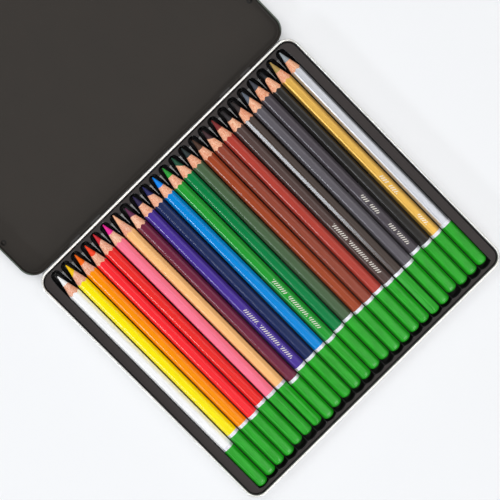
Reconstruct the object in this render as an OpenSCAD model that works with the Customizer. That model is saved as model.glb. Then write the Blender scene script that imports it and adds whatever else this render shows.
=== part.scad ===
// A flat hinged tin of sharpened hexagonal coloured pencils, lying open.
// The base tin stands at the origin. The pencils lie along Y with their tips
// towards the hinge at +Y, and the open lid lies flat behind the hinge.

/* [Pencil] */
// Width of a pencil's hexagon across its flats
flats_w = 6.9; // [6.6:0.1:7.3]
// How much the rounding takes off each corner of the hexagon
corner_trim = 0.3; // [0.1:0.05:0.4]
// Length of a pencil from its tip to its rounded end
pencil_len = 175; // [165:1:180]
// Half angle of the sharpened cone, in degrees
cone_half_angle = 13; // [12:0.1:16]
// Diameter of the coloured lead
lead_d = 3.8; // [3:0.1:4.4]
// Radius of the blunt point of the lead
point_r = 0.4; // [0.2:0.05:0.5]
// How far the dipped end bulges past the edge of the barrel
dome_h = 1.6; // [1.2:0.1:2]
// Depth of paint and filler that closes the dipped end over the lead
end_cap_t = 2.4; // [2:0.1:4]
// Gap round the lead in its glued groove
lead_fit = 0.01; // [0.005:0.005:0.03]

/* [Tray] */
// Thickness of the formed plastic sheet
tray_t = 0.4; // [0.3:0.05:0.5]
// Gap between a pencil's corners and its pocket
pocket_play = 0.24; // [0.1:0.02:0.3]
// Width of the ridge between two pockets
ridge_w = 0.25; // [0.2:0.05:0.6]
// Room in a pocket past the tip of a pencil
tip_room = 1.4; // [1.2:0.1:4]
// Room in a pocket past the dipped end of a pencil
tail_room = 2.9; // [2.5:0.1:6]
// Radius of the rounded nose of a pocket, at the pencil's tip
nose_r = 3.2; // [2.4:0.1:3.4]
// Length of the long side curves that narrow a pocket to its nose
nose_run = 8.8; // [7.6:0.2:10]
// Radius of the shallow curve that closes a pocket at the dipped end
tail_r = 8; // [6:0.5:12]
// Flat land between the pockets' noses and the tray's edge
tip_land = 1.3; // [1.3:0.1:5]
// Flat land between the pockets' other ends and the tray's edge
tail_land = 2; // [1.2:0.1:5]
// Flat land beside the first and the last pocket
side_land = 5.8; // [3:0.1:9]
// Height of the tray's top above the pencils' axis
land_rise = 1.9; // [1.5:0.1:2.6]
// Height of the low ridges between the barrels, above the pencils' axis
ridge_rise = 0.4; // [0.2:0.1:1]
// Where the land starts to slope down to the low ridges, from the nose end
slope_start = 3.4; // [3:0.1:5]
// Length of the slope from the land down to the low ridges
slope_run = 8; // [5:0.5:12]
// Length of the steeper slope at the dipped ends
tail_slope_run = 2.6; // [2:0.1:5]
// Radius of the tray's rounded upper edge
tray_edge_r = 0.8; // [0.5:0.1:0.9]
// Radius of the tray's corners, seen from above
tray_corner_r = 6.7; // [4:0.1:9]
// Gap between the tray and the inside of the tin, on average
tray_gap = 0.55; // [0.4:0.05:1.2]
// How far the loose tray lies to the left of the middle
tray_shift = 0.1; // [0:0.05:0.3]
// Gap under the tray's skirt
seat_gap = 0.3; // [0.1:0.1:0.5]
// Height of the pockets' undersides over the floor of the tin
pocket_lift = 1.5; // [0.5:0.1:3]

/* [Tin] */
// Thickness of the tinplate
tin_t = 0.4; // [0.3:0.05:0.5]
// Diameter of the rolled rim round the base
rim_d = 1.5; // [1.2:0.05:1.8]
// How far the rolled rim stands above the tray's land
rim_rise = 1.9; // [1.6:0.1:3]
// Corner radius of the base over its rolled rim, seen from above
corner_r = 9; // [8:0.5:14]
// Radius of the rounded bottom edge of the base
bottom_r = 1.5; // [1:0.1:2.5]

/* [Lid] */
// Free height over the pencils in the closed tin
head_room = 2.95; // [2:0.05:5]
// Gap between the lid and the base's rim, all round
lid_play = 0.25; // [0.2:0.05:0.5]
// Height of the lid's skirt with its hem
lid_depth = 6.8; // [6.7:0.1:7.4]
// Diameter of the rolled hem at the lid's edge
hem_d = 0.95; // [0.7:0.05:1]
// Radius of the rounded edge between the lid's panel and its skirt
lid_edge_r = 1.8; // [1.2:0.1:2.5]
// Diameter of the round bumps pressed into the lid's panel
bump_d = 3; // [2:0.1:4]
// How far the bumps stand up inside the lid
bump_h = 0.5; // [0.3:0.05:0.7]
// Distance of the bumps from the inside of the lid's side walls
bump_inset = 2.9; // [2.5:0.1:6]
// Distance of the bumps from the inside of the lid's rear and front walls
bump_from_end = 27.8; // [20:0.1:40]

/* [Hinge] */
// Radius of the hinge wire
pin_r = 0.6; // [0.5:0.05:0.7]
// Radial running clearance between the wire and its knuckles
pin_play = 0.05; // [0.02:0.01:0.08]
// Length of each knuckle on the base
base_knuckle_len = 7; // [5:0.5:10]
// Length of the knuckle on the lid
lid_knuckle_len = 9; // [6:0.5:12]
// Gap between neighbouring knuckles
knuckle_gap = 0.3; // [0.2:0.05:0.5]
// Distance of each hinge's middle from the middle of the tin
hinge_x = 62; // [40:1:75]
// Distance of the hinge axis from the outside of the lid's rear wall
hinge_set = 0.2; // [0.15:0.05:0.3]
// Thickness of the peened heads at the ends of the wire
pin_head_t = 0.3; // [0.2:0.05:0.5]
// How much the peened heads stand out round the wire
pin_head_proud = 0.25; // [0.15:0.05:0.3]
// Height of the window that each base knuckle's tab is bent out of
window_h = 2; // [1:0.1:2.4]

/* [Hidden] */
$fn = 72;
// Cutting shapes reach this far past what they cut
over = 1;

// One row for each pencil, from the left: shade, lacquer, lead, and how far
// it has slid towards its dipped end in its pocket
PENCILS = [
    ["white", "#F4F4F2", "#F8F8F6", 2.3],
    ["yellow", "#FFE400", "#FFC800", 1],
    ["orange", "#FF9600", "#FF6A00", 0.3],
    ["red", "#FA2A28", "#FF4A1E", 0.6],
    ["scarlet", "#F02222", "#D72B38", -0.7],
    ["pink", "#FF6C8C", "#F0309C", -0.7],
    ["peach", "#FFC472", "#F8B48C", -0.6],
    ["plum", "#682444", "#5C2C50", 1.6],
    ["violet", "#40308C", "#2E2444", -0.2],
    ["navy", "#1E2858", "#242458", -0.2],
    ["blue", "#0090E0", "#0088E8", 0],
    ["light_green", "#28A428", "#2C9C38", 0.2],
    ["green", "#008840", "#1C4C38", -0.4],
    ["olive", "#4C6A48", "#283430", -0.5],
    ["sienna", "#A84C2C", "#4C3428", 0.7],
    ["chestnut", "#9C4C38", "#442C30", 1],
    ["terracotta", "#B4402C", "#7C302C", 0.5],
    ["umber", "#4C3C38", "#2C2828", 0.8],
    ["sepia", "#403430", "#302828", 1.3],
    ["grey", "#585C60", "#5C6068", 1.2],
    ["dark_grey", "#404448", "#3C4048", -0.8],
    ["black", "#242424", "#202024", 0.5],
    ["gold", "#D0A440", "#B09858", 0.3],
    ["silver", "#C8CCD4", "#9CA4AC", 0.1]
];
count = len(PENCILS);

// Pencil
corner_half = flats_w / sqrt(3) - corner_trim;
hex_r = flats_w / sqrt(3);
dome_r = (corner_half * corner_half + dome_h * dome_h) / (2 * dome_h);
lead_r = lead_d / 2;
cone_slope = tan(cone_half_angle);
// The cone would end in a point here; the blunt tip takes the last bit off
apex_y = pencil_len + point_r * (1 / sin(cone_half_angle) - 1);

// Pockets: they repeat at this pitch, and lie along Y about each pencil's axis
// To the nearest hundredth of a millimetre, so that the pitch is a plain size
pocket_r = round((corner_half + pocket_play) * 100) / 100;
pitch = 2 * pocket_r + ridge_w;
field_w = (count - 1) * pitch;
pocket_len = pencil_len + tip_room + tail_room;
// The long side curves meet the straight sides and the round nose tangentially
ogive_r = (pow(pocket_r, 2) + pow(nose_run, 2) - pow(nose_r, 2)) / (2 * (pocket_r - nose_r));
nose_angle = asin(nose_run / (ogive_r - nose_r));
nose_lean = nose_r * sin(nose_angle);

// Tray and tin, from the inside out
tray_w = field_w + 2 * pocket_r + 2 * side_land;
tray_l = pocket_len + tip_land + tail_land;
inside_w = tray_w + 2 * tray_gap;
inside_l = tray_l + 2 * tray_gap;
base_w = inside_w + 2 * rim_d;
base_l = inside_l + 2 * rim_d;
axis_z = tin_t + pocket_lift + tray_t + pocket_r;
land_z = axis_z + land_rise;
ridge_z = axis_z + ridge_rise;
rim_z = land_z + rim_rise;
nose_y = tray_l / 2 - tip_land;
tail_y = nose_y - pocket_len;
full_y = nose_y - nose_r - nose_run;
pencil_end_y = tail_y + tail_room;

// Lid, about the hinge axis, which lies at half the closed tin's height
closed_h = axis_z + flats_w / 2 + head_room + tin_t;
hinge_z = closed_h / 2;
lid_in_w = base_w + 2 * lid_play;
lid_in_l = base_l + 2 * lid_play;
lid_w = lid_in_w + 2 * hem_d;
lid_l = lid_in_l + 2 * hem_d;
lid_corner_r = corner_r + lid_play + hem_d;
hinge_y = lid_in_l / 2 + tin_t + hinge_set;
lid_y = 2 * hinge_y;

// Hinge
bore_r = pin_r + pin_play;
knuckle_r = bore_r + tin_t;
base_knuckle_x = (lid_knuckle_len + base_knuckle_len) / 2 + knuckle_gap;
hinge_len = lid_knuckle_len + 2 * (base_knuckle_len + knuckle_gap);
wall_face_y = base_l / 2 - rim_d + tin_t;

// Where pencil i lies across the tin
function pencil_x(i) = (i - (count - 1) / 2) * pitch - tray_shift;

// Where pencil i's dipped end lies along the tin
function end_y(i) = pencil_end_y - PENCILS[i][3];

// Carries a profile round a rectangle with round corners. The profile's x is
// measured outwards from the centre of a corner, and its y is the height.
// The middle, inside the corners' centres, is left for a plain plate.
module round_the_edge(w, l, r) {
    for (k = [0 : 3]) {
        across = k % 2 == 0 ? w : l;
        along = k % 2 == 0 ? l : w;
        rotate(90 * k) translate([across / 2 - r, along / 2 - r, 0]) {
            rotate_extrude(angle = 90) children();
            rotate([90, 0, 0]) linear_extrude(along - 2 * r) children();
        }
    }
}

// The plain plate inside the corners' centres
module middle_plate(w, l, r, t) {
    translate([r - w / 2, r - l / 2, 0]) cube([w - 2 * r, l - 2 * r, t]);
}

// A quarter of a ring in the lower right, the section of a rounded edge
module edge_bend(r, t) {
    intersection() {
        difference() {
            circle(r);
            circle(r - t);
        }
        translate([0, -r]) square(r);
    }
}

// A cylinder that lies along X, with its middle at the origin
module lying(r, len) {
    rotate([0, 90, 0]) cylinder(r = r, h = len, center = true);
}

// ---- Pencils ----

// Half the outline of a barrel: x is the radius, y runs from its end to its tip
module barrel_profile() {
    groove_r = lead_r + lead_fit;
    intersection() {
        polygon([
            [0, 0],
            [corner_half, 0],
            [corner_half, apex_y - corner_half / cone_slope],
            [groove_r, apex_y - groove_r / cone_slope],
            [groove_r, end_cap_t],
            [0, end_cap_t]
        ]);
        union() {
            translate([0, dome_r]) circle(dome_r);
            translate([0, dome_r]) square([dome_r, pencil_len]);
        }
    }
}

// A wooden barrel along Y: a hexagon with its corners rounded, a sharpened
// cone at one end, a painted dome at the other and the lead's groove inside
module barrel() {
    rotate([-90, 0, 0]) intersection() {
        rotate_extrude() barrel_profile();
        cylinder(r = hex_r, h = pencil_len, $fn = 6);
    }
}

// A lead along Y, sharpened with the barrel to a blunt point
module lead() {
    blunt_y = pencil_len - point_r;
    shoulder = point_r * cos(cone_half_angle);
    rotate([-90, 0, 0]) rotate_extrude() {
        polygon([
            [0, end_cap_t + lead_fit],
            [lead_r, end_cap_t + lead_fit],
            [lead_r, apex_y - lead_r / cone_slope],
            [shoulder, blunt_y + point_r * sin(cone_half_angle)],
            [0, blunt_y + point_r * sin(cone_half_angle)]
        ]);
        intersection() {
            translate([0, blunt_y]) circle(point_r);
            translate([0, blunt_y]) square(point_r);
        }
    }
}

module pencil_barrel(i) {
    color(PENCILS[i][1]) translate([pencil_x(i), end_y(i), axis_z]) barrel();
}

module pencil_lead(i) {
    color(PENCILS[i][2]) translate([pencil_x(i), end_y(i), axis_z]) lead();
}

// ---- Tray ----

// Outline of a pocket from above: straight sides, a shallow curve at the
// dipped end, and two long curves that narrow to a round nose at the tip
module pocket_plan() {
    intersection() {
        translate([-pocket_r, tail_y]) square([2 * pocket_r, full_y - tail_y]);
        union() {
            translate([0, tail_y + tail_r]) circle(tail_r);
            translate([-pocket_r, tail_y + tail_r]) square([2 * pocket_r, pocket_len]);
        }
    }
    intersection() {
        translate([pocket_r - ogive_r, full_y]) circle(ogive_r);
        translate([ogive_r - pocket_r, full_y]) circle(ogive_r);
        translate([-pocket_r, full_y]) square([2 * pocket_r, nose_run + nose_lean]);
    }
    translate([0, nose_y - nose_r]) circle(nose_r);
}

// Points on an arc, with no point at its start
function arc_points(x, y, r, from, to, steps) = [
    for (k = [1 : steps]) let (a = from + (to - from) * k / steps) [x + r * cos(a), y + r * sin(a)]
];

// Half the outline of a pocket's underside, in short straight steps, from
// the dipped end to the nose. It keeps the sheet's thickness off the inside.
function underside_points() = concat(
    [[0, tail_y - tray_t]],
    arc_points(0, tail_y + tail_r, tail_r + tray_t, -90, -acos((pocket_r + tray_t) / (tail_r + tray_t)), 2),
    [[pocket_r + tray_t, full_y]],
    arc_points(pocket_r - ogive_r, full_y, ogive_r + tray_t, 0, nose_angle, 4),
    arc_points(0, nose_y - nose_r, nose_r + tray_t, nose_angle, 90, 4)
);

// Every pocket's space: round below the pencils' axis, upright above it
module pocket_spaces() {
    for (i = [0 : count - 1]) {
        translate([pencil_x(i), 0, axis_z]) {
            rotate([-90, 0, 0]) rotate_extrude(angle = 180) intersection() {
                pocket_plan();
                translate([0, tail_y - over]) square([pocket_r + over, pocket_len + 2 * over]);
            }
            linear_extrude(land_z + over - axis_z) pocket_plan();
        }
    }
}

// Every pocket's sheet, still solid
module pocket_undersides() {
    points = underside_points();
    mirrored = [for (k = [len(points) - 2 : -1 : 1]) [-points[k][0], points[k][1]]];
    for (i = [0 : count - 1]) {
        translate([pencil_x(i), 0, axis_z]) {
            rotate([-90, 0, 0]) rotate_extrude(angle = 180) polygon(points);
            linear_extrude(land_z - axis_z) polygon(concat(points, mirrored));
        }
    }
}

// Height of the tray between the pockets, as points along Y: the land, the
// slope down from it, the low ridges and the slope up to the other land
function ridge_line() = [
    [nose_y - slope_start, land_z],
    [nose_y - slope_start - slope_run, ridge_z],
    [tail_y + tail_land + tail_slope_run, ridge_z],
    [tail_y + tail_land, land_z]
];

// Carries a shape drawn along Y and Z across all pockets
module across_pockets() {
    translate([pencil_x(0), 0, 0]) rotate([90, 0, 90]) linear_extrude(field_w) children();
}

// The space over the low ridges
module ridge_relief() {
    across_pockets() polygon(concat(
        ridge_line(),
        [[tail_y + tail_land, land_z + over], [nose_y - slope_start, land_z + over]]
    ));
}

// The sheet along the slopes and the low ridges
module ridge_sheet() {
    line = ridge_line();
    across_pockets() polygon([
        line[0], line[1], line[2], line[3],
        [line[3][0] - over, land_z],
        [line[3][0] - over, land_z - tray_t],
        [line[3][0], land_z - tray_t],
        [line[2][0], ridge_z - tray_t],
        [line[1][0], ridge_z - tray_t],
        [line[0][0], land_z - tray_t],
        [line[0][0] + over, land_z - tray_t],
        [line[0][0] + over, land_z]
    ]);
}

// The outer part of the tray's land, its rounded edge and the skirt that
// stands on the tin's floor
module tray_skirt_profile() {
    foot_z = tin_t + seat_gap;
    translate([0, land_z - tray_t]) square([tray_corner_r - tray_edge_r, tray_t]);
    translate([tray_corner_r - tray_t, foot_z]) square([tray_t, land_z - tray_edge_r - foot_z]);
    translate([tray_corner_r - tray_edge_r, land_z - tray_edge_r]) mirror([0, 1]) edge_bend(tray_edge_r, tray_t);
}

module tray() {
    color("#343232") difference() {
        union() {
            difference() {
                union() {
                    translate([-tray_shift, 0, 0]) {
                        translate([0, 0, land_z - tray_t]) middle_plate(tray_w, tray_l, tray_corner_r, tray_t);
                        round_the_edge(tray_w, tray_l, tray_corner_r) tray_skirt_profile();
                    }
                    pocket_undersides();
                }
                ridge_relief();
            }
            ridge_sheet();
        }
        pocket_spaces();
    }
}

// ---- Tin ----

// Edge of the floor, rounded bottom edge, wall and rolled rim of the base
module base_wall_profile() {
    wall_in = corner_r - rim_d;
    bend_x = wall_in + tin_t - bottom_r;
    rim_mid_z = rim_z - rim_d / 2;
    square([bend_x, tin_t]);
    translate([wall_in, bottom_r]) square([tin_t, rim_mid_z - bottom_r]);
    translate([bend_x, bottom_r]) edge_bend(bottom_r, tin_t);
    translate([corner_r - rim_d / 2, rim_mid_z]) circle(d = rim_d);
}

// Two tabs bent out of the rear wall and curled round the wire
module base_knuckles() {
    for (x = [-base_knuckle_x, base_knuckle_x]) {
        translate([x, hinge_y, hinge_z]) lying(knuckle_r, base_knuckle_len);
        translate([x - base_knuckle_len / 2, wall_face_y - tin_t, hinge_z - knuckle_r])
            cube([base_knuckle_len, hinge_y - wall_face_y + tin_t, tin_t]);
    }
}

// The windows that the tabs leave in the rear wall
module tab_windows() {
    for (x = [-base_knuckle_x, base_knuckle_x]) {
        translate([x - base_knuckle_len / 2, wall_face_y - tin_t - over, hinge_z - knuckle_r + tin_t])
            cube([base_knuckle_len, tin_t + 2 * over, window_h]);
    }
}

module base_shell() {
    color("#C9CBC8") difference() {
        union() {
            difference() {
                union() {
                    middle_plate(base_w, base_l, corner_r, tin_t);
                    round_the_edge(base_w, base_l, corner_r) base_wall_profile();
                }
                for (side = [-1, 1]) translate([side * hinge_x, 0, 0]) tab_windows();
            }
            for (side = [-1, 1]) translate([side * hinge_x, 0, 0]) base_knuckles();
        }
        for (side = [-1, 1]) translate([side * hinge_x, hinge_y, hinge_z]) lying(bore_r, hinge_len + over);
    }
}

// ---- Lid, lying open with its outside down ----

// Edge of the panel, rounded edge, skirt and rolled hem of the lid
module lid_wall_profile() {
    wall_in = lid_corner_r - hem_d;
    bend_x = wall_in + tin_t - lid_edge_r;
    hem_z = lid_depth - hem_d / 2;
    square([bend_x, tin_t]);
    translate([wall_in, lid_edge_r]) square([tin_t, hem_z - lid_edge_r]);
    translate([bend_x, lid_edge_r]) edge_bend(lid_edge_r, tin_t);
    translate([lid_corner_r - hem_d / 2, hem_z]) circle(d = hem_d);
}

// The four places of the pressed bumps
module at_the_bumps() {
    for (x = [-1, 1], y = [-1, 1]) {
        translate([x * (lid_in_w / 2 - bump_inset), y * (lid_in_l / 2 - bump_from_end), 0]) children();
    }
}

// The round top of a bump, standing bump_h over the height of base_z
module bump_cap(base_z) {
    cap_r = (bump_d * bump_d / 4 + bump_h * bump_h) / (2 * bump_h);
    translate([0, 0, base_z]) intersection() {
        translate([0, 0, bump_h - cap_r]) sphere(cap_r);
        cylinder(d = bump_d + over, h = bump_h + over);
    }
}

// Clears the lid's wall and hem round a base knuckle and the wire's head,
// through the whole swing
module knuckle_notches() {
    inner = lid_knuckle_len / 2;
    outer = hinge_len / 2 + pin_play + pin_head_t + knuckle_gap;
    for (x = [-outer, inner]) {
        translate([x, hinge_y - hem_d, hinge_z - knuckle_r - knuckle_gap])
            cube([outer - inner, 2 * hem_d + tin_t, lid_depth]);
    }
}

module lid_shell() {
    color("#3C3835") difference() {
        union() {
            difference() {
                translate([0, lid_y, 0]) {
                    middle_plate(lid_w, lid_l, lid_corner_r, tin_t);
                    round_the_edge(lid_w, lid_l, lid_corner_r) lid_wall_profile();
                    at_the_bumps() bump_cap(tin_t);
                }
                translate([0, lid_y, 0]) at_the_bumps() bump_cap(0);
                for (side = [-1, 1]) translate([side * hinge_x, 0, 0]) knuckle_notches();
            }
            for (side = [-1, 1]) translate([side * hinge_x, hinge_y, hinge_z]) lying(knuckle_r, lid_knuckle_len);
        }
        for (side = [-1, 1]) translate([side * hinge_x, hinge_y, hinge_z]) lying(bore_r, hinge_len + over);
    }
}

// ---- Hinge wires ----

// A straight wire through one hinge, with a peened head at each end
module hinge_wire(side) {
    color("#B8BABC") translate([side * hinge_x, hinge_y, hinge_z]) {
        lying(pin_r, hinge_len + 2 * pin_play + 2 * pin_head_t);
        for (end = [-1, 1]) {
            translate([end * (hinge_len + 2 * pin_play + pin_head_t) / 2, 0, 0]) lying(pin_r + pin_head_proud, pin_head_t);
        }
    }
}

module hinge_wire_left() {
    hinge_wire(-1);
}

module hinge_wire_right() {
    hinge_wire(1);
}

base_shell();
lid_shell();
tray();
hinge_wire_left();
hinge_wire_right();
for (i = [0 : count - 1]) {
    pencil_barrel(i);
    pencil_lead(i);
}
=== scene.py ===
import math

import bmesh
import bpy
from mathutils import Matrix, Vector


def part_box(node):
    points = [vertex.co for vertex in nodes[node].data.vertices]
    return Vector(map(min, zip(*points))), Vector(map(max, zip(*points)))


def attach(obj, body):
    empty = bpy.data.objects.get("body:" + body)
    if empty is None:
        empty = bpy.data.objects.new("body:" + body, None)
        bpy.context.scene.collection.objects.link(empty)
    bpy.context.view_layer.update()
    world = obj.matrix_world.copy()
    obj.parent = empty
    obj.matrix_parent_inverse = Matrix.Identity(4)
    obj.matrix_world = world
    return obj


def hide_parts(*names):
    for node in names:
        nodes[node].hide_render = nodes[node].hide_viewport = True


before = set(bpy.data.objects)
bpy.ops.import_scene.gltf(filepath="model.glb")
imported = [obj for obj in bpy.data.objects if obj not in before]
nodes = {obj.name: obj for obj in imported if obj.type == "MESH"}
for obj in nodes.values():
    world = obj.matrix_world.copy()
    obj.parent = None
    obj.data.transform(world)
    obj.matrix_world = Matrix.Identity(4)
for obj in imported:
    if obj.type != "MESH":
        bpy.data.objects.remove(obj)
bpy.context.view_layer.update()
# Sizes are written in millimetres, and become metres where they are used
MM = 0.001


# ---- Studio ----
# A pale table with a pale backdrop round it, under a dark ceiling, with wide
# soft panels on all four sides, a long window low on the left and a small
# panel high in front. The camera looks almost straight down on the open tin.
CAMERA_AT = (-1.83, 106.27, 1100)
CAMERA_TURN = (-3.291, -3.286, -44.485)
CAMERA_LENS = 133.09
TABLE_HALF = 3000
BACKDROP_HEIGHT = 1500
TABLE_COLOUR = (0.895, 0.904, 0.921, 1)
TABLE_GLOW = 0.4
TABLE_FADE = 900
WINDOW_COLOUR = (0.87, 0.93, 1.0)
HINGE_GAP_X = 99
HINGE_GAP_Y = 94.5
HINGE_GAP_REACH = 3
ROOM_COLOUR = (1, 0.995, 0.985, 1)
ROOM_LIGHT = 0.08
LAMP_REACH = 1500

camera = bpy.data.objects.new("camera", bpy.data.cameras.new("camera"))
bpy.context.scene.collection.objects.link(camera)
camera.location = [v * MM for v in CAMERA_AT]
camera.rotation_euler = [math.radians(v) for v in CAMERA_TURN]
camera.data.sensor_width = 36
camera.data.lens = CAMERA_LENS
camera.data.clip_end = 20
bpy.context.scene.camera = camera
bpy.context.scene.view_settings.view_transform = "Standard"

room = bpy.data.worlds.new("room")
room.use_nodes = True
air = room.node_tree.nodes["Background"]
air.inputs["Color"].default_value = ROOM_COLOUR
air.inputs["Strength"].default_value = ROOM_LIGHT
bpy.context.scene.world = room


def soft_lamp(name, bearing, lift, size, glow):
    """A panel that faces the tin, and its light. Bearing is its turn from +X
    and lift its height over the table, in degrees, and glow 1 looks white."""
    lamp = bpy.data.objects.new(name, bpy.data.lights.new(name, "AREA"))
    lamp.data.shape = "RECTANGLE"
    lamp.data.size, lamp.data.size_y = [v * MM for v in size]
    lamp.data.energy = glow * math.pi * lamp.data.size * lamp.data.size_y
    turn, rise = math.radians(bearing), math.radians(lift)
    level = math.cos(rise)
    way = Vector((math.cos(turn) * level, math.sin(turn) * level, math.sin(rise)))
    lamp.location = way * LAMP_REACH * MM
    lamp.rotation_euler = (-way).to_track_quat("-Z", "Y").to_euler()
    bpy.context.scene.collection.objects.link(lamp)
    return lamp.data


window = soft_lamp("window", 174.5, 24, (650, 130), 25.0)
window.color = WINDOW_COLOUR
soft_lamp("front_window", -105, 34, (150, 150), 30.0)
soft_lamp("high_panel", -90, 69, (520, 300), 8.6)
soft_lamp("back_ceiling", 90, 60, (1100, 600), 2.85)
soft_lamp("right_ceiling", 0, 62, (900, 500), 2.1)
soft_lamp("left_panel", 180, 50, (1300, 700), 0.75)
soft_lamp("right_panel", 0, 42, (1300, 800), 0.65)
soft_lamp("front_panel", -90, 40, (1300, 800), 1.35)
soft_lamp("back_panel", 90, 38, (1300, 600), 1.35)

bm = bmesh.new()
bmesh.ops.create_grid(bm, x_segments=1, y_segments=1, size=TABLE_HALF * MM)
backdrop = bmesh.ops.extrude_edge_only(bm, edges=bm.edges[:])["geom"]
for corner in backdrop:
    if isinstance(corner, bmesh.types.BMVert):
        corner.co.z = BACKDROP_HEIGHT * MM
mesh = bpy.data.meshes.new("table_top")
bm.to_mesh(mesh)
bm.free()
table_top = bpy.data.objects.new("table_top", mesh)
bpy.context.scene.collection.objects.link(table_top)


class Wire:
    """A socket inside a material. Sums and products of wires add Math nodes,
    and node() adds any other kind."""

    def __init__(self, tree, socket):
        self.tree = tree
        self.socket = socket

    def node(self, kind, settings=None, sockets=None, out=0):
        made = self.tree.nodes.new(kind)
        for key, value in (settings or {}).items():
            setattr(made, key, value)
        for key, value in (sockets or {}).items():
            if isinstance(value, Wire):
                self.tree.links.new(value.socket, made.inputs[key])
            else:
                made.inputs[key].default_value = value
        return Wire(self.tree, made.outputs[out])

    def maths(self, operation, *others):
        sockets = dict(enumerate((self, *others)))
        return self.node("ShaderNodeMath", {"operation": operation}, sockets)

    def __add__(self, other):
        return self.maths("ADD", other)

    def __sub__(self, other):
        return self.maths("SUBTRACT", other)

    def __rsub__(self, other):
        return self.node("ShaderNodeMath", {"operation": "SUBTRACT"}, {0: other, 1: self})

    def __mul__(self, other):
        return self.maths("MULTIPLY", other)

    __radd__ = __add__
    __rmul__ = __mul__

    def step(self, low, high):
        """0 below low and 1 above high, with a smooth change between."""
        return self.node(
            "ShaderNodeMapRange",
            {"interpolation_type": "SMOOTHSTEP"},
            {"Value": self, "From Min": low, "From Max": high},
        )

    def within(self, low, high):
        return self.node("ShaderNodeClamp", sockets={"Value": self, "Min": low, "Max": high})

    def axis(self, name):
        return self.node("ShaderNodeSeparateXYZ", sockets={0: self}, out=name)

    def grain(self, size, detail=2.0, rough=0.5):
        """Noise on this place; size is its grain along x, y and z in mm."""
        scaled = self.node(
            "ShaderNodeVectorMath",
            {"operation": "MULTIPLY"},
            {0: self, 1: [1 / (v * MM) for v in size]},
        )
        return self.node(
            "ShaderNodeTexNoise",
            sockets={"Vector": scaled, "Scale": 1.0, "Detail": detail, "Roughness": rough},
        )

    def between(self, first, second):
        """A colour that goes from first, where this is 0, to second."""
        return self.node("ShaderNodeMix", {"data_type": "RGBA"}, {0: self, 6: first, 7: second}, out=2)

    def relief(self, depth):
        """Raised by this, in shares of depth, a length in mm."""
        return self.node("ShaderNodeBump", sockets={"Height": self, "Distance": depth * MM})


def new_paint(name):
    """A material, and the place on the piece that its patterns follow."""
    paint = bpy.data.materials.new(name)
    paint.use_nodes = True
    return paint, Wire(paint.node_tree, None).node("ShaderNodeTexCoord", out="Object")


def dress(paint, **sockets):
    """Gives a material's shader its values and wires."""
    shader = paint.node_tree.nodes["Principled BSDF"]
    for key, value in sockets.items():
        end = shader.inputs[key.replace("_", " ")]
        if isinstance(value, Wire):
            paint.node_tree.links.new(value.socket, end)
        else:
            end.default_value = value
    return paint


# The table glows a little to the eye, and more far off where the lamps are
# weak, but not in the narrow gap at the hinge
paper, place = new_paint("pale_paper")
dress(paper, Base_Color=TABLE_COLOUR, Roughness=0.9, Specular_IOR_Level=0)
x, y = place.axis("X"), place.axis("Y")
beside = x.maths("ABSOLUTE").maths("GREATER_THAN", HINGE_GAP_X * MM)
off_hinge = (y - HINGE_GAP_Y * MM).maths("ABSOLUTE").maths("GREATER_THAN", HINGE_GAP_REACH * MM)
seen = place.node("ShaderNodeLightPath", out="Is Camera Ray")
mirrored = place.node("ShaderNodeLightPath", out="Is Glossy Ray")
seen_through = place.node("ShaderNodeLightPath", out="Is Transmission Ray")
by_eye = (seen + mirrored + seen_through).within(0, 1)
far = (x * x + y * y) * ((1 - TABLE_GLOW) / (TABLE_FADE * MM) ** 2)
share = by_eye * beside.maths("MAXIMUM", off_hinge) * (far + TABLE_GLOW).within(0, 1)
tree = paper.node_tree
lit = Wire(tree, tree.nodes["Principled BSDF"].outputs[0])
glow = place.node("ShaderNodeEmission", sockets={"Color": TABLE_COLOUR})
blend = place.node("ShaderNodeMixShader", sockets={0: share, 1: lit, 2: glow})
tree.links.new(blend.socket, tree.nodes["Material Output"].inputs["Surface"])
mesh.materials.append(paper)


# ---- Base tin ----
# The deep half of the tin: pressed tinplate under clear lacquer, with a rolled
# rim, and with knuckles curled from tabs for the hinge wires, the tabs and
# knuckles painted near-black. The plate's rolling marks run along the hinge.
PLATE_COLOUR = (0.86, 0.84, 0.80, 1)
PLATE_DULL = (0.70, 0.70, 0.67, 1)
TAB_COLOUR = (0.035, 0.032, 0.03, 1)
TAB_Y = 93.5
TAB_TOP = 8.3
PLATE_METAL = 0.72


def repaint(node, paint):
    for slot in node.material_slots:
        slot.material = paint


tinplate, place = new_paint("tinplate_lacquered")
rolled = place.grain((40, 0.25, 0.25), detail=3)
cloud = place.grain((18, 18, 6), detail=2)
# The tabs and knuckles, past the rim on the hinge side and below the tabs' top, are painted near-black
below_top = 1 - place.axis("Z").step(TAB_TOP * MM, (TAB_TOP + 0.1) * MM)
is_tab = place.axis("Y").step(TAB_Y * MM, (TAB_Y + 0.1) * MM) * below_top
plate = (rolled * 0.5 + cloud * 0.5).step(0.3, 0.72).between(PLATE_DULL, PLATE_COLOUR)
dress(
    tinplate,
    Base_Color=is_tab.between(plate, TAB_COLOUR),
    Metallic=PLATE_METAL - is_tab * PLATE_METAL,
    Roughness=cloud * 0.16 + 0.28 + is_tab * 0.2,
    Normal=rolled.relief(0.03),
)
repaint(nodes["base_shell"], tinplate)
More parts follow.
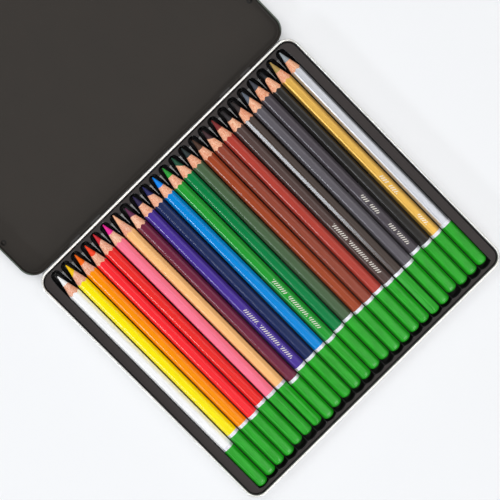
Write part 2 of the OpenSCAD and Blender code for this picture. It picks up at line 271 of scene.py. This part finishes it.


# ---- Tray ----
# Vacuum-formed black sheet with a pocket for every pencil. Its flat lands
# keep the sheet's matte side. The drawn pockets, their rounded lips and the
# slopes between them are stretched and shiny. The sheet is one black, but the
# lands are painted lighter as painted reflection, and the pockets and lips
# near-black as painted shade.
LAND_LIT_COLOUR = (0.021, 0.0145, 0.0135, 1)
POCKET_SHADE_COLOUR = (0.004, 0.0035, 0.004, 1)
LAND_Z = 8.12
LAND_ROUGH = 0.55
POCKET_ROUGH = 0.2
TAIL_ROUGH = 0.5
LIP = 0.3
PITCH = 8.09
FIRST_X = -93.135
LAST_POCKET = 23
POCKET_R = 3.92
NOSE_R = 3.2
NOSE_RUN = 8.8
NOSE_Y = 90
FULL_Y = NOSE_Y - NOSE_R - NOSE_RUN
OGIVE_R = (POCKET_R**2 + NOSE_RUN**2 - NOSE_R**2) / (2 * (POCKET_R - NOSE_R))
NOSE_TANGENT_Y = NOSE_Y - NOSE_R + NOSE_R * NOSE_RUN / (OGIVE_R - NOSE_R)
TAIL_R = 8
TAIL_Y = -89.3

formed, place = new_paint("tray_sheet")
x = place.axis("X") * (1 / MM) - FIRST_X
y = place.axis("Y") * (1 / MM)
nearest = (x * (1 / PITCH)).maths("ROUND").within(0, LAST_POCKET)
across = (x - nearest * PITCH).maths("ABSOLUTE")


def away(along, radius):
    """How far a spot across and along from an arc's centre lies outside it."""
    return (across * across + along * along).maths("SQRT") - radius


past_full = (y - FULL_Y).within(0, 100)
wide = across + (OGIVE_R - POCKET_R)
side = (wide * wide + past_full * past_full).maths("SQRT") - OGIVE_R
nose = away(y - (NOSE_Y - NOSE_R), NOSE_R)
tail = away((TAIL_Y + TAIL_R - y).within(0, 100), TAIL_R)
at_nose = y.maths("GREATER_THAN", NOSE_TANGENT_Y)
outside = (side + (nose - side) * at_nose).maths("MAXIMUM", tail)

leather = place.grain((0.35, 0.35, 0.35), detail=3, rough=0.6) - 0.5
flow = place.grain((9, 26, 9), detail=2)
level = place.axis("Z").step((LAND_Z - 0.12) * MM, (LAND_Z - 0.02) * MM)
is_land = level * outside.step(LIP * 0.7, LIP * 1.3)
at_tail = (1 - level) * (1 - y.step(-1, 1))
slump = (1 - outside * (1 / LIP)).within(0, 1) * level
rough = is_land * (LAND_ROUGH - POCKET_ROUGH) + POCKET_ROUGH
# The pockets' sheen grows from the right end of the tin to the left
sheen = (1 - level) * (1 - at_tail) * (0.1 - place.axis("X"))
dress(
    formed,
    # Painted reflection on the lands, painted shade in the pockets and on their lips
    Base_Color=is_land.between(POCKET_SHADE_COLOUR, LAND_LIT_COLOUR),
    Roughness=rough + (flow - 0.5) * 0.12 + at_tail * TAIL_ROUGH,
    Normal=(leather * 0.025 + flow * 0.03 - slump * slump * 0.5 * LIP).relief(1.0),
    Specular_IOR_Level=0.4,
    Coat_Weight=sheen,
    Coat_Roughness=0.1,
)
repaint(nodes["tray"], formed)


# ---- Pencils ----
# Cedar slats glued round a coloured lead, planed to a hexagon with eased
# corners, lacquered, ringed with silver, dipped green at the end, and
# sharpened, which scallops the lacquer and slants a lead that is off centre.
FACE_REACH = 3.45
CORNER_REACH = 3.684
CORNER_SOFT = 0.03
CONE_ANGLE = math.radians(13)
CONE_SLOPE = math.tan(CONE_ANGLE)
POINT_R = 0.4
POINT_SHORT = POINT_R * (1 / math.sin(CONE_ANGLE) - 1)
LEAD_R = 1.9
DOME_R = 5.04
DOME_SOFT = 0.35
BORE_END = 2.4
BORE_LIP = 1.5
LEAD_PLAY = 0.02
LEAD_END_GAP = 0.05
LEAD_SHOULDER = 0.3
TIP_HOLE = 0.05
TIP_DROP = 0.004
BARREL_RING = 40
DIP_LENGTH = 32
DIP_RING = 8
RING_LENGTH = 2.1
PAINT_STEP = 0.03
RING_EDGE = 0.06
DIP_EDGE = 0.08
DOME_STEPS = (4, 3, 2.4, 1.9, 1.5, 1.15, 0.85, 0.6, 0.38, 0.2, 0.08, 0.02)
DOME_CORE = 0.12
WOOD, LACQUER, SILVER, DIP = range(4)

# shade: lacquer and lead (sRGB), the lead's centre off the pencil's axis and
# how far the dip goes past its usual length, both in mm, and the pencil's roll
SHADES = {
    "white": ((246, 246, 246), (250, 250, 250), (0, 0), -1.4, 0),
    "yellow": ((255, 234, 0), (255, 200, 0), (-0.3, 0), 0.9, -2),
    "orange": ((255, 145, 0), (255, 106, 0), (-0.05, 0.1), -0.2, 2),
    "red": ((252, 42, 50), (255, 70, 34), (0, 0.25), -0.3, 0),
    "scarlet": ((236, 44, 40), (215, 43, 56), (-0.3, -0.15), 0.4, 2),
    "pink": ((249, 116, 144), (244, 44, 156), (0, 0.08), 0.1, 18),
    "peach": ((250, 190, 122), (250, 184, 144), (0, 0), 0.3, 12),
    "plum": ((112, 36, 62), (100, 44, 80), (0.1, -0.1), -1.1, -3),
    "violet": ((74, 50, 150), (46, 36, 76), (0, 0), -0.2, 1),
    "navy": ((28, 42, 88), (40, 40, 96), (0.2, 0), -0.3, -8),
    "blue": ((0, 136, 216), (0, 136, 240), (0, 0.14), -0.1, 3),
    "light_green": ((36, 156, 52), (44, 156, 56), (0, 0), -0.5, 5),
    "green": ((0, 128, 66), (30, 80, 58), (0.42, 0), -0.3, -3),
    "olive": ((76, 100, 70), (44, 54, 54), (0, 0), 0.4, -4),
    "sienna": ((160, 70, 38), (76, 52, 40), (0, 0.13), 0.5, 4),
    "chestnut": ((146, 70, 52), (68, 44, 48), (0.28, 0), 0.4, 2),
    "terracotta": ((178, 64, 52), (130, 46, 46), (0, 0), 0.2, 3),
    "umber": ((84, 66, 62), (44, 40, 42), (0, 0.15), -0.3, 8),
    "sepia": ((72, 60, 54), (52, 44, 44), (-0.25, 0), 0.1, -25),
    "grey": ((94, 90, 96), (96, 104, 116), (-0.35, -0.05), -0.2, 5),
    "dark_grey": ((78, 72, 78), (68, 70, 80), (-0.08, 0), 0.3, 2),
    "black": ((42, 40, 38), (34, 34, 38), (0.0, -0.42), 0, -2),
    "gold": ((228, 180, 84), (176, 148, 84), (0, 0.12), -0.1, 0),
    "silver": ((206, 208, 214), (152, 160, 166), (0, 0), 0.2, -1),
}
METALS = {"gold": 0.7, "silver": 0.7}
# Foil stamped on the top and bottom faces, by shade: where its runs of strokes
# begin and end along the tin, in mm
FOIL = {
    "violet": ((-45.7, -36.6), (-35, -19), (-16.6, -5.3)),
    "light_green": ((-44.8, -36), (-34.5, -18.5), (-16, -4.6)),
    "umber": ((-46.5, -37.6), (-36.3, -20.4), (-18.6, -6.3)),
    "dark_grey": ((-46, -36.5), (-35, -29.5), (-20.5, -13.5), (-11.5, -5.7)),
    "gold": ((-45.5, -37.6), (-20, -13.2), (-11.5, -5.3)),
}
FOIL_PITCH = 1.6
FOIL_REACH = 1.0
FOIL_COLOUR = (0.74, 0.7, 0.63, 1)

# Angles round a pencil from +X towards +Z: close together round each corner,
# which starts where the hexagon's face passes outside the corner's circle
corner_edge = 30 - math.degrees(math.acos(FACE_REACH / CORNER_REACH))
from_corner = [corner_edge * k / 4 for k in range(-3, 4)]
from_corner += [corner_edge + k for k in (-0.8, 0, 0.8, 2, 5)]
from_corner += [60 - corner_edge + k for k in (-5, -2, -0.8, 0, 0.8)]
from_corner = sorted(from_corner + [30])
ANGLES = [math.radians(60 * side + turn) for side in range(6) for turn in from_corner]


def soft_least(first, second, soft):
    """The lesser of two lengths, with a rounded change between them."""
    return -soft * math.log(math.exp(-first / soft) + math.exp(-second / soft))


def barrel_reach(angle):
    """From the axis to a pencil's side, on a hexagon with rounded corners."""
    turn = (math.degrees(angle) + 30) % 60 - 30
    face = FACE_REACH / math.cos(math.radians(30 - abs(turn)))
    return soft_least(face, CORNER_REACH, CORNER_SOFT)


def pull_ring(bm, ring, spots, material=WOOD):
    """Extrudes a ring of vertices, and moves the new ring to the spots."""
    edges = [bm.edges.get((ring[k - 1], ring[k])) for k in range(len(ring))]
    made = bmesh.ops.extrude_edge_only(bm, edges=edges)["geom"]
    fresh = {v for v in made if isinstance(v, bmesh.types.BMVert)}
    following = [
        next(e.other_vert(v) for e in v.link_edges if e.other_vert(v) in fresh) for v in ring
    ]
    for v, spot in zip(following, spots):
        v.co = spot
    for face in made:
        if isinstance(face, bmesh.types.BMFace):
            face.material_index = material
            face.smooth = True
    return following


def crease(bm, ring):
    """Keeps the two sides of a ring from shading into each other."""
    for k in range(len(ring)):
        bm.edges.get((ring[k - 1], ring[k])).smooth = False


def close_ring(bm, ring):
    """Draws a ring together into a pole."""
    middle = sum((v.co for v in ring), Vector()) / len(ring)
    bmesh.ops.pointmerge(bm, verts=ring, merge_co=middle)


def first_ring(bm, spots):
    """A ring of vertices at the spots, to pull the others from."""
    ring = bmesh.ops.create_circle(bm, segments=len(spots), radius=MM)["verts"]
    for v, spot in zip(ring, spots):
        v.co = spot
    return ring


def finished(bm, name, *paints):
    """Makes the mesh an object, with its faces pointing outwards."""
    bmesh.ops.recalc_face_normals(bm, faces=bm.faces)
    mesh = bpy.data.meshes.new(name)
    bm.to_mesh(mesh)
    bm.free()
    for paint in paints:
        mesh.materials.append(paint)
    piece = bpy.data.objects.new(name, mesh)
    bpy.context.scene.collection.objects.link(piece)
    return piece


def linear(colour):
    """A colour as a shader takes it, from its sRGB levels out of 255."""
    return tuple(
        (v / 255 / 12.92 if v <= 10 else ((v / 255 + 0.055) / 1.055) ** 2.4) for v in colour
    ) + (1,)


def tinted(colour, share):
    """The colour made darker, or with a share over 1 lighter."""
    return tuple(min(1, v * share) for v in colour[:3]) + (1,)


WOOD_LIGHT = linear((255, 220, 194))
WOOD_DARK = linear((222, 131, 92))
WOOD_WARM = (1.0, 0.9, 0.76, 1)
wood, place = new_paint("cedar")
fibre = place.grain((0.3, 5, 0.3), detail=4, rough=0.6)
pore = place.grain((0.14, 1.8, 0.14), detail=2)
slat = place.grain((7, 4000, 7), detail=1)
plain = (fibre * 0.6 + pore * 0.25 + slat * 0.15).step(0.38, 0.64).between(WOOD_DARK, WOOD_LIGHT)
warmth = (slat * 0.5 + place.axis("X") * (0.9 / 0.2) + 0.25).within(0, 1)
dress(
    wood,
    Base_Color=warmth.node(
        "ShaderNodeMix",
        {"data_type": "RGBA", "blend_type": "MULTIPLY"},
        {0: warmth, 6: plain, 7: WOOD_WARM},
        out=2,
    ),
    Roughness=0.62,
    Normal=(fibre * 0.5 + pore * 0.5).relief(0.06),
)

DIP_COLOUR = linear((30, 160, 28))
dip, place = new_paint("green_dip")
sag = place.grain((3, 9, 3), detail=2)
dress(
    dip,
    Base_Color=sag.step(0.3, 0.7).between(tinted(DIP_COLOUR, 0.9), tinted(DIP_COLOUR, 1.08)),
    Roughness=sag * 0.1 + 0.26,
    Normal=sag.relief(0.04),
    Specular_IOR_Level=0.28,
    Coat_Weight=0.3,
    Coat_Roughness=0.07,
)

silver_ring, place = new_paint("silver_ring")
fleck = place.grain((0.3, 0.3, 0.3), detail=2)
dress(
    silver_ring,
    Base_Color=fleck.step(0.3, 0.7).between(linear((204, 204, 214)), linear((238, 238, 243))),
    Metallic=0.35,
    Roughness=fleck * 0.12 + 0.26,
)


def foil_strokes(place, shade, axis_x):
    """1 on the slanted strokes of foil, along a pencil's top and bottom faces."""
    x = place.axis("X") * (1 / MM) - axis_x
    y = place.axis("Y") * (1 / MM)
    stroke = ((y + x * 0.6) * (1 / FOIL_PITCH)).maths("FRACT")
    mark = stroke.step(0.08, 0.2) * (1 - stroke.step(0.5, 0.62))
    on_face = 1 - x.maths("ABSOLUTE").step(FOIL_REACH, FOIL_REACH + 0.15)
    runs = [y.maths("GREATER_THAN", low) * y.maths("LESS_THAN", high) for low, high in FOIL[shade]]
    return mark * on_face * sum(runs[1:], runs[0])


def lacquer_paint(shade, colour, axis_x):
    """Gloss lacquer over planed cedar, whose grain shows faintly through."""
    paint, place = new_paint("lacquer_" + shade)
    metal = METALS.get(shade, 0)
    skin = place.grain((0.6, 11, 0.6), detail=3, rough=0.55)
    fine = place.grain((0.22, 0.22, 0.22), detail=2)
    mixed = skin * (0.6 - 0.3 * metal) + fine * (0.4 + 0.3 * metal)
    face = mixed.step(0.3, 0.7).between(tinted(colour, 0.9), tinted(colour, 1.06))
    if shade in FOIL:
        face = foil_strokes(place, shade, axis_x).between(face, FOIL_COLOUR)
    return dress(
        paint,
        Base_Color=face,
        Roughness=skin * 0.08 + 0.14 + 0.28 * metal,
        Metallic=metal,
        Normal=skin.relief(0.006),
        Specular_IOR_Level=0.3,
        Coat_Weight=0.3,
        Coat_Roughness=0.17,
    )


def lead_paint(shade, colour):
    """Waxy pigment, turned by the sharpener's blade."""
    paint, place = new_paint("core_" + shade)
    turned = place.grain((2.5, 0.18, 2.5), detail=2)
    crumb = place.grain((0.35, 0.35, 0.35), detail=3)
    return dress(
        paint,
        Base_Color=crumb.step(0.3, 0.7).between(tinted(colour, 0.86), tinted(colour, 1.06)),
        Roughness=crumb * 0.15 + 0.36,
        Normal=(turned * 0.6 + crumb * 0.4).relief(0.04),
        Specular_IOR_Level=0.22,
    )


for shade, (lacquer_colour, lead_colour, (lead_x, lead_z), more_dip, roll) in SHADES.items():
    case_low, case_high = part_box("pencil_" + shade)
    _, lead_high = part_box("lead_" + shade)
    axis_x = (case_low.x + case_high.x) / 2 / MM
    axis_z = (case_low.z + case_high.z) / 2 / MM
    end_y = case_low.y / MM
    tip_y = lead_high.y / MM

    def spot(angle, reach, y):
        return Vector((axis_x + reach * math.cos(angle), y, axis_z + reach * math.sin(angle))) * MM

    def cone_y(reach):
        return tip_y + POINT_SHORT - reach / CONE_SLOPE

    def lead_reach(angle):
        along = lead_x * math.cos(angle) + lead_z * math.sin(angle)
        across = lead_x * math.sin(angle) - lead_z * math.cos(angle)
        return along + math.sqrt(LEAD_R**2 - across**2)

    around = [a + math.radians(roll) for a in ANGLES]
    reach = [barrel_reach(a) for a in ANGLES]
    inner = [lead_reach(a) for a in around]
    mouth = [spot(a, r, cone_y(r)) for a, r in zip(around, inner)]

    # Case: from the mouth of the bore down the cone and along the barrel
    bm = bmesh.new()
    start = first_ring(bm, mouth)
    crease(bm, start)
    ring = start
    for share in (0.25, 0.5, 0.75, 1):
        cut = [i + (r - i) * share for r, i in zip(reach, inner)]
        ring = pull_ring(bm, ring, [spot(a, c, cone_y(c)) for a, c in zip(around, cut)])
    dip_y = end_y + DIP_LENGTH + more_dip
    ring_y = dip_y + RING_LENGTH
    for y, proud, paint in (
        (tip_y - BARREL_RING, 0, LACQUER),
        (ring_y, 0, LACQUER),
        (ring_y - RING_EDGE, PAINT_STEP, SILVER),
        (dip_y, PAINT_STEP, SILVER),
        (dip_y - DIP_EDGE, 2 * PAINT_STEP, DIP),
        (end_y + DIP_RING, 2 * PAINT_STEP, DIP),
    ):
        ring = pull_ring(bm, ring, [spot(a, r + proud, y) for a, r in zip(around, reach)], paint)
    for depth in DOME_STEPS:
        ball = math.sqrt(2 * DOME_R * depth - depth * depth)
        spots = []
        for a, r in zip(around, reach):
            eased = soft_least(r + 2 * PAINT_STEP, ball, DOME_SOFT)
            spots.append(spot(a, max(eased, DOME_CORE * ball), end_y + depth))
        ring = pull_ring(bm, ring, spots, DIP)
    close_ring(bm, ring)
    # Bore: back inside from the mouth
    bore_end = end_y + BORE_END
    ring = pull_ring(bm, start, [spot(a, i, cone_y(i) - BORE_LIP) for a, i in zip(around, inner)])
    ring = pull_ring(bm, ring, [spot(a, i, bore_end) for a, i in zip(around, inner)])
    close_ring(bm, ring)
    lacquer = lacquer_paint(shade, linear(lacquer_colour), axis_x)
    case = finished(bm, "case_" + shade, wood, lacquer, silver_ring, dip)
    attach(case, "pencil_" + shade)
    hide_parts("pencil_" + shade)

    # Lead: a blunt point, the cone, and a rod down the bore
    bm = bmesh.new()
    start = first_ring(bm, [spot(a, TIP_HOLE, tip_y - TIP_DROP) for a in around])
    ring = start
    for k in range(1, 5):
        turn = (math.pi / 2 - CONE_ANGLE) * k / 4
        ball = POINT_R * math.sin(turn)
        y = tip_y - POINT_R * (1 - math.cos(turn))
        ring = pull_ring(bm, ring, [spot(a, ball, y) for a in around])
    for share in (0.3, 0.65, 1):
        cut = [POINT_R * (1 - share) + i * share for i in inner]
        ring = pull_ring(bm, ring, [spot(a, c, cone_y(c)) for a, c in zip(around, cut)])
    crease(bm, ring)
    rod = [(a, i - LEAD_PLAY, cone_y(i) - LEAD_SHOULDER) for a, i in zip(around, inner)]
    ring = pull_ring(bm, ring, [spot(*at) for at in rod])
    ring = pull_ring(bm, ring, [spot(a, r, bore_end + LEAD_END_GAP) for a, r, _ in rod])
    close_ring(bm, ring)
    close_ring(bm, start)
    lead = finished(bm, "lead_core_" + shade, lead_paint(shade, linear(lead_colour)))
    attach(lead, "pencil_" + shade)
    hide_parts("lead_" + shade)


# ---- Lid ----
# The shallow half: tinplate, stoved matte charcoal inside and satin outside,
# with its edge rolled into a thin hem and four small bumps pressed in.
INSIDE_COLOUR = linear((43, 38, 33))
OUTSIDE_COLOUR = linear((44, 50, 46))
HEM_COLOUR = linear((84, 92, 84))
LID_Y = 188.4
BUMP_X = 102.155
BUMP_Y = 65.8
FLANK_FOOT = (1.5, 2.1)
FLANK_TOP = (0.35, 0.75)
HEM_Z = 6.0
HINGE_SIDE_Y = 96
WALL_X = 105.255
WALL_Y = 93.8
WALL_CORNER_R = 9.45
BEND_R = 1.6
BEND_Z = 1.8
KNUCKLE_Z = 5

stoved, place = new_paint("lid_lacquer")
mottle = place.grain((14, 22, 14), detail=3)
tooth = place.grain((0.3, 0.3, 0.3), detail=2)
# The hem gets its own colour only away from the hinge; on the hinge side it keeps the darker inside
# colour, as painted shade where it lies in shadow
beyond_hinge = place.axis("Y").step(HINGE_SIDE_Y * MM, (HINGE_SIDE_Y + 3) * MM)
hem_off_hinge = place.axis("Z").step(HEM_Z * MM, (HEM_Z + 0.25) * MM) * beyond_hinge
# Past the middle of the sheet, from the flat panel round its bend and up the skirt
from_middle_x = place.axis("X").maths("ABSOLUTE") * (1 / MM)
from_middle_y = (place.axis("Y") * (1 / MM) - LID_Y).maths("ABSOLUTE")
corner_x = (from_middle_x - (WALL_X - WALL_CORNER_R)).within(0, 100)
corner_y = (from_middle_y - (WALL_Y - WALL_CORNER_R)).within(0, 100)
past_wall = (corner_x * corner_x + corner_y * corner_y).maths("SQRT") - WALL_CORNER_R
bend_out = (past_wall + BEND_R).within(0, 100)
bend_down = (BEND_Z - place.axis("Z") * (1 / MM)).within(0, 100)
past_middle = (bend_out * bend_out + bend_down * bend_down).maths("SQRT") - BEND_R
is_high = place.axis("Z").step((KNUCKLE_Z - 0.2) * MM, (KNUCKLE_Z + 0.2) * MM)
is_knuckle = is_high * (1 - beyond_hinge)
is_outside = past_middle.step(-0.05, 0.05) * (1 - is_knuckle)
inside = (mottle * 0.6 + tooth * 0.4).step(0.3, 0.7).between(
    tinted(INSIDE_COLOUR, 0.93), tinted(INSIDE_COLOUR, 1.07)
)
bump_x = from_middle_x - BUMP_X
bump_y = from_middle_y - BUMP_Y
off_bump = (bump_x * bump_x + bump_y * bump_y).maths("SQRT")
# The bumps' flanks are painted a quarter as bright as the inside: painted shade on their slopes
shaded_flank = off_bump.step(*FLANK_TOP) * (1 - off_bump.step(*FLANK_FOOT))
inside = shaded_flank.between(inside, tinted(INSIDE_COLOUR, 0.25))
with_outside = is_outside.between(inside, OUTSIDE_COLOUR)
dress(
    stoved,
    Base_Color=hem_off_hinge.between(with_outside, HEM_COLOUR),
    Roughness=0.6 - is_outside.maths("MAXIMUM", hem_off_hinge) * 0.25 + (mottle - 0.5) * 0.1,
    Normal=(tooth * 0.7 + mottle * 0.3).relief(0.03),
    Specular_IOR_Level=0.3,
)
repaint(nodes["lid_shell"], stoved)


# ---- Hinge wires ----
# Blackened steel wire, cut to length and pushed through the knuckles, then
# peened to a head on each end.
WIRE_DARK = (0.03, 0.03, 0.032, 1)
WIRE_LIGHT = (0.06, 0.058, 0.056, 1)

wire_steel, place = new_paint("drawn_wire")
drawn = place.grain((6, 0.12, 0.12), detail=2)
dress(
    wire_steel,
    Base_Color=drawn.step(0.3, 0.7).between(WIRE_DARK, WIRE_LIGHT),
    Metallic=0.6,
    Roughness=drawn * 0.15 + 0.22,
    Normal=drawn.relief(0.02),
)
for side in ("left", "right"):
    repaint(nodes["hinge_wire_" + side], wire_steel)
